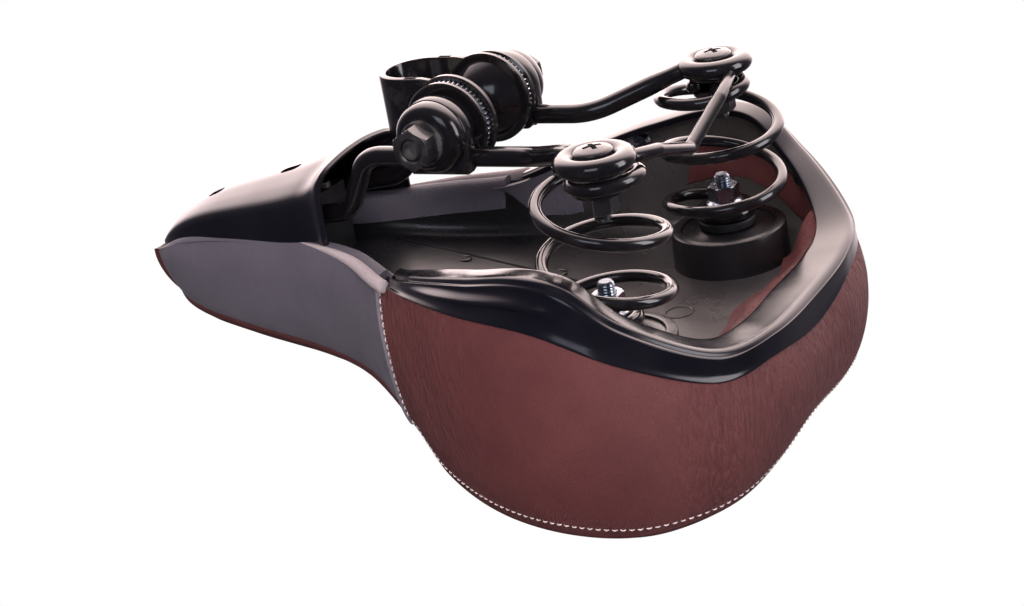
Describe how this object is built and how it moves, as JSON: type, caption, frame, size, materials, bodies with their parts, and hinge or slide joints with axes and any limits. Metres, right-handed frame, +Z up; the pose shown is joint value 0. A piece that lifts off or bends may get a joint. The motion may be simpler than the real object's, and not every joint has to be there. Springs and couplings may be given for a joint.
{
  "type": "sprung bicycle saddle",
  "caption": "Padded comfort bicycle saddle on wire rails and coil springs, with a tilt-adjustable clamp for a plain seatpost.",
  "frame": {"origin": "centre of the seatpost bore, level with the clamp bolt", "axes": "+X to the nose of the saddle, +Y to the rider's left, +Z up; the seatpost comes in from below along Z"},
  "size_m": [0.2739, 0.188, 0.1448],
  "materials": {
    "pan_plastic": "fine moulded texture",
    "foam": "open-cell foam",
    "dark_leather": "fine grain, satin",
    "brown_leather": "wrinkled grain, satin",
    "grey_vinyl": "fine grain, satin",
    "bead_vinyl": "satin",
    "gloss_black": "polished",
    "black_enamel": "gloss enamel",
    "black_steel": "black zinc",
    "zinc": "bright zinc plate",
    "staple_brass": "plated wire",
    "disc_rubber": "moulded"
  },
  "bodies": {
    "clamp": {"post_strap": "black_enamel", "clamp_bolt": "black_steel", "clamp_nut": "black_steel", "clamp_washers": "black_steel"},
    "clips": {"inner_plate_left": "black_enamel", "inner_plate_right": "black_enamel", "serrated_disc_left": "zinc", "serrated_disc_right": "zinc", "outer_cap_left": "black_enamel", "outer_cap_right": "black_enamel"},
    "rails": {"rail_frame": "black_enamel", "cross_brace": "black_enamel", "spring_left": "black_enamel", "spring_right": "black_enamel", "eye_bushes": "black_steel", "eye_screws": "black_steel", "eye_washers": "black_enamel", "eye_nuts": "black_steel"},
    "seat": {"base_shell": "pan_plastic", "foam_pad": "foam", "top_cover": "dark_leather", "rear_skirt": "brown_leather", "nose_panel_left": "grey_vinyl", "nose_panel_right": "grey_vinyl", "seam_beads": "bead_vinyl", "rear_bumper": "gloss_black", "bumper_screws": "zinc", "nose_cover": "gloss_black", "nose_block": "pan_plastic", "nose_clip": "black_steel", "nose_screws": "zinc", "cover_flap": "brown_leather", "cover_staples": "staple_brass", "base_bolts": "zinc", "base_nuts": "zinc", "end_discs": "disc_rubber"}
  },
  "joints": [
    {"name": "saddle_tilt", "type": "hinge", "parent": "clamp", "child": "clips", "pos_m": [-0.0195, 0, 0], "axis": [0, 1, 0], "range_deg": [-15, 15]},
    {"name": "rail_slide", "type": "slide", "parent": "clips", "child": "rails", "axis": [1, 0, 0], "range_m": [-0.012, 0.012]},
    {"name": "suspension", "type": "hinge", "parent": "rails", "child": "seat", "pos_m": [0.058, 0, 0.036], "axis": [0, -1, 0], "range_deg": [0, 5], "stiffness_Nm_per_rad": 1400, "deforming": ["spring_left", "spring_right"]}
  ]
}
